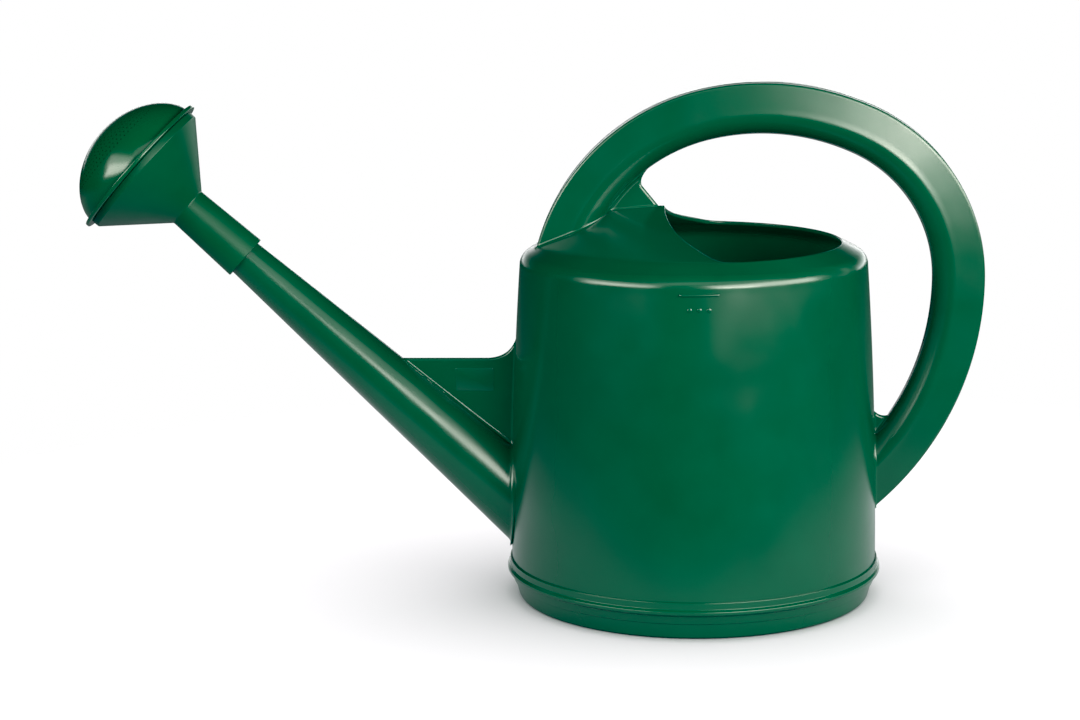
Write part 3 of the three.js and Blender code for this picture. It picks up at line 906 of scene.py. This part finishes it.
def plastic(name, dark, light, roughness, grain_height, wave_height, shine=0.5):
    """Moulded polyethylene: cloudy colour, uneven roughness, a fine mould grain and slow waves."""
    material = bpy.data.materials.new(name)
    material.use_nodes = True
    material.node_tree.nodes.clear()
    nodes = Nodes(material.node_tree)
    coordinates = nodes.add("ShaderNodeTexCoord")
    shader = nodes.add("ShaderNodeBsdfPrincipled", IOR=1.5)
    shader.inputs["Specular IOR Level"].default_value = shine
    output = nodes.add("ShaderNodeOutputMaterial")
    nodes.link(shader, 0, output, "Surface")

    cloud = noise(nodes, coordinates, 24.0, 4.0, 0.6)
    shade = nodes.add("ShaderNodeValToRGB")
    shade.color_ramp.elements[0].position, shade.color_ramp.elements[0].color = 0.3, (*dark, 1)
    shade.color_ramp.elements[1].position, shade.color_ramp.elements[1].color = 0.7, (*light, 1)
    nodes.link(cloud, 0, shade, "Fac")
    nodes.link(shade, "Color", shader, "Base Color")

    smear = noise(nodes, coordinates, 38.0, 1.5, 0.5)
    gloss = ranged(nodes, smear, 0.3, 0.7, *roughness)
    nodes.link(gloss, 0, shader, "Roughness")

    grain = noise(nodes, coordinates, 1400.0, 2.0, 0.6)
    fine = nodes.add("ShaderNodeBump", Strength=1.0, Distance=grain_height)
    nodes.link(grain, 0, fine, "Height")
    wave = noise(nodes, coordinates, 17.0, 2.0, 0.45)
    slow = nodes.add("ShaderNodeBump", Strength=1.0, Distance=wave_height)
    nodes.link(wave, 0, slow, "Height")
    nodes.link(fine, "Normal", slow, "Normal")
    nodes.link(slow, "Normal", shader, "Normal")
    return material


can_plastic = plastic(
    "can_plastic",
    dark=(0.0, 0.042, 0.0168),
    light=(0.0, 0.049, 0.0205),
    roughness=(0.2, 0.27),
    grain_height=0.0000002,
    wave_height=0.0002,
)
rose_plastic = plastic(
    "rose_plastic",
    dark=(0.0, 0.040, 0.0132),
    light=(0.0, 0.050, 0.0176),
    roughness=(0.15, 0.22),
    grain_height=0.0000002,
    wave_height=0.0003,
)
rose_satin = plastic(
    "rose_satin",
    dark=(0.0, 0.041, 0.0145),
    light=(0.0, 0.051, 0.019),
    roughness=(0.33, 0.43),
    grain_height=0.000001,
    wave_height=0.0003,
    shine=0.2,
)

# ---------------------------------------------------------------- pieces
def add_can_piece(name, shape, replaced, sharp=None):
    return add_piece(name, *shape, can_plastic, "can", replaced, "can_plastic", sharp)


SOFT_CREASE = math.radians(40)  # edges sharper than these angles are drawn as creases
CREASE = math.radians(50)
HARD_CREASE = math.radians(60)

tank = add_can_piece("tank", tank_mesh(), ("tank_shell",))
cut_spout_hole(tank)
add_can_piece("fill_mark", fill_mark_mesh(), ())
add_can_piece("base", base_mesh(), ("base_pan",))
add_can_piece("spout", spout_mesh(), ("spout_tube",), CREASE)
add_can_piece("spout_gusset", spout_web_mesh(), ("spout_web",), CREASE)
add_can_piece("gusset_panel", panel_mesh(), (), SOFT_CREASE)
add_can_piece("handle", handle_mesh(), ("handle_loop",), HARD_CREASE)
add_can_piece("front_gusset", front_web_mesh(), ("handle_front_web",), CREASE)
add_can_piece("rear_gusset", rear_web_mesh(), ("handle_rear_web",), CREASE)
add_piece("rose_cone", *funnel_mesh(), rose_satin, "rose", ("rose_funnel",), "rose_plastic")
add_piece("rose_dome", *face_mesh(), rose_plastic, "rose_plate", ("rose_face",), "rose_plastic", SOFT_CREASE)


# ---------------------------------------------------------------- camera
CAMERA_LENS = 86.1
CAMERA_PLACE = (AXIS_X - 13.66, -1538.75, 439.59)
CAMERA_YAW = -0.0514  # in radians, like the next two
CAMERA_PITCH = 0.1901
CAMERA_ROLL = -0.0105


def make_camera():
    data = bpy.data.cameras.new("camera")
    data.sensor_width = 36
    data.lens = CAMERA_LENS
    data.clip_end = 50
    camera = bpy.data.objects.new("camera", data)
    bpy.context.scene.collection.objects.link(camera)
    turn = (
        Matrix.Rotation(-CAMERA_YAW, 4, "Z")
        @ Matrix.Rotation(math.pi / 2 - CAMERA_PITCH, 4, "X")
        @ Matrix.Rotation(CAMERA_ROLL, 4, "Z")
    )
    camera.matrix_world = Matrix.Translation(Vector(CAMERA_PLACE) * MM) @ turn
    bpy.context.scene.camera = camera


# ---------------------------------------------------------------- light and stage
FLOOR_FADE = (0.32, 0.62)  # distances from the can at which the floor starts and ends melting into white
SWEEP_FRONT = (-0.34, -0.2)  # in front of the can the lit paper ends, which only reflections show: there it is painted dark, as painted shade
KEY_COLOUR = (1.0, 0.985, 0.88)
OVERHEAD_COLOUR = (1.0, 1.0, 1.0)
RED_LOST = 0.022  # what a saturated green takes from the camera's red, as a part of full red
BACKDROP_LIGHT = 5.0
BACKDROP_WAY = (0.3, 0.95, 0.0)  # it is brightest behind the can, a little to the right
BACKDROP_EDGE = (0.55, 0.95)  # it fades in between these shares of the way round to there
BACKDROP_MIDDLE = 0.1  # heights, as the Z of a direction, where it is dim and where it ends
BACKDROP_TOP = 0.24
FAR_PAPER_LIGHT = 0.18


def softbox(name, azimuth, elevation, wide, tall, radiance, distance=1.8):
    """A flat light facing the can. Azimuth 0 is in front of it, 90 to its right; all angles are degrees."""
    data = bpy.data.lights.new(name, "AREA")
    data.shape = "RECTANGLE"
    data.size = 2 * distance * math.tan(math.radians(wide / 2))
    data.size_y = 2 * distance * math.tan(math.radians(tall / 2))
    data.energy = 4 * data.size * data.size_y * radiance
    data.color = KEY_COLOUR
    light = bpy.data.objects.new(name, data)
    bpy.context.scene.collection.objects.link(light)
    turn, rise = math.radians(azimuth), math.radians(elevation)
    away = Vector((math.sin(turn) * math.cos(rise), -math.cos(turn) * math.cos(rise), math.sin(rise)))
    light.location = Vector((AXIS_X * MM, 0, 0.15)) + away * distance
    light.rotation_mode = "QUATERNION"
    light.rotation_quaternion = away.to_track_quat("Z", "Y")
    return light


def link_light(light, receiver, state):
    """Lights only the receiver, or everything but the receiver."""
    group = bpy.data.collections.new(light.name + "_receivers")
    group.objects.link(receiver)
    group.collection_objects[0].light_linking.link_state = state
    light.light_linking.receiver_collection = group


def make_world():
    """White to the camera; for light and reflections, a low bright backdrop behind and far paper below."""
    world = bpy.data.worlds.new("studio")
    bpy.context.scene.world = world
    world.use_nodes = True
    world.node_tree.nodes.clear()
    nodes = Nodes(world.node_tree)
    coordinates = nodes.add("ShaderNodeTexCoord")
    split = nodes.add("ShaderNodeSeparateXYZ")
    nodes.link(coordinates, "Generated", split, 0)
    facing = nodes.add("ShaderNodeVectorMath", operation="DOT_PRODUCT")
    nodes.link(coordinates, "Generated", facing, 0)
    facing.inputs[1].default_value = BACKDROP_WAY
    behind = ranged(nodes, facing, *BACKDROP_EDGE, 0.0, 1.0, "Value")
    glow = nodes.add("ShaderNodeValToRGB")
    glow.color_ramp.elements[0].position, glow.color_ramp.elements[0].color = 0.0, (1, 1, 1, 1)
    glow.color_ramp.elements[1].position, glow.color_ramp.elements[1].color = BACKDROP_TOP, (0, 0, 0, 1)
    middle = glow.color_ramp.elements.new(BACKDROP_MIDDLE)
    middle.color = (0.35, 0.35, 0.35, 1)
    nodes.link(split, "Z", glow, "Fac")
    above = ranged(nodes, split, -0.01, 0.01, 0.0, BACKDROP_LIGHT, "Z")
    backdrop = product(nodes, product(nodes, behind, glow), above)
    below = ranged(nodes, split, -0.1, -0.2, 0.0, FAR_PAPER_LIGHT, "Z")
    beside = ranged(nodes, split, -0.92, -0.62, 0.1, 1.0, "Y")
    total = nodes.add("ShaderNodeMath", operation="ADD")
    nodes.link(backdrop, 0, total, 0)
    nodes.link(product(nodes, below, beside), 0, total, 1)
    room = nodes.add("ShaderNodeBackground", Color=(1, 1, 1, 1))
    nodes.link(total, 0, room, "Strength")
    seen = nodes.add("ShaderNodeBackground", Color=(1, 1, 1, 1), Strength=1.0)
    path = nodes.add("ShaderNodeLightPath")
    output = nodes.add("ShaderNodeOutputWorld")
    nodes.link(mixed(nodes, path, room, seen, "Is Camera Ray"), 0, output, "Surface")


def make_floor():
    """A pale round of paper that melts into the white backdrop. To reflections and bounce light it shows
    painted shade: a dimmer copy of the paper, painted dark in front of the can.
    """
    bpy.ops.mesh.primitive_circle_add(vertices=96, radius=FLOOR_FADE[1], fill_type="NGON")
    floor = bpy.context.object
    floor.name = "floor"
    floor.location = (AXIS_X * MM, 0, -0.0002)
    material = bpy.data.materials.new("floor")
    material.use_nodes = True
    material.node_tree.nodes.clear()
    nodes = Nodes(material.node_tree)
    coordinates = nodes.add("ShaderNodeTexCoord")
    reach = nodes.add("ShaderNodeVectorMath", operation="LENGTH")
    nodes.link(coordinates, "Object", reach, 0)
    split = nodes.add("ShaderNodeSeparateXYZ")
    nodes.link(coordinates, "Object", split, 0)
    paper = nodes.add("ShaderNodeBsdfDiffuse", Color=(0.875, 0.862, 0.878, 1))
    # painted shade: reflections and bounce light see a dimmer copy of the paper, and a painted dark sheet in
    # front of the can
    painted_dim_paper = nodes.add("ShaderNodeBsdfDiffuse", Color=(0.6, 0.6, 0.61, 1))
    dark = nodes.add("ShaderNodeBsdfDiffuse", Color=(0.05, 0.05, 0.05, 1))
    clear = nodes.add("ShaderNodeBsdfTransparent")
    path = nodes.add("ShaderNodeLightPath")
    # painted shade seen only in reflections: the dim copy at the sides and back, painted dark in front
    painted_reflected_floor = mixed(nodes, ranged(nodes, split, *SWEEP_FRONT, 0.0, 1.0, "Y"), dark, painted_dim_paper)
    surface = mixed(nodes, path, painted_reflected_floor, paper, "Is Camera Ray")
    melted = mixed(nodes, ranged(nodes, reach, *FLOOR_FADE, 0.0, 1.0, "Value"), surface, clear)
    output = nodes.add("ShaderNodeOutputMaterial")
    nodes.link(melted, 0, output, "Surface")
    floor.data.materials.append(material)
    return floor


def set_colour():
    """Plain display colours, with the camera's deep greens: its faintest reds are lost."""
    settings = bpy.context.scene.view_settings
    settings.view_transform = "Standard"
    settings.use_curve_mapping = True
    red = settings.curve_mapping.curves[0]
    for x, y in ((RED_LOST, 0.0), (0.5, (0.5 - RED_LOST) / (1 - RED_LOST))):
        red.points.new(x, y)
    for point in red.points:
        point.handle_type = "VECTOR"
    settings.curve_mapping.update()


make_camera()
make_world()
paper_floor = make_floor()
for key in (
    softbox("right_key", 48.5, 20, 73, 24, 10.0),
    softbox("right_core", 29, 12.5, 24, 7, 14.0, 1.75),
    softbox("left_key", -50, 16.5, 46, 14, 9.5),
    softbox("left_spread", -52, 28, 52, 12, 3.5),
    softbox("front_spread", 18, 45, 70, 20, 1.4),
):
    link_light(key, paper_floor, "EXCLUDE")
overhead = softbox("overhead", 95, 85, 116, 116, 1.58, 1.2)
overhead.data.color = OVERHEAD_COLOUR
link_light(overhead, paper_floor, "INCLUDE")
set_colour()
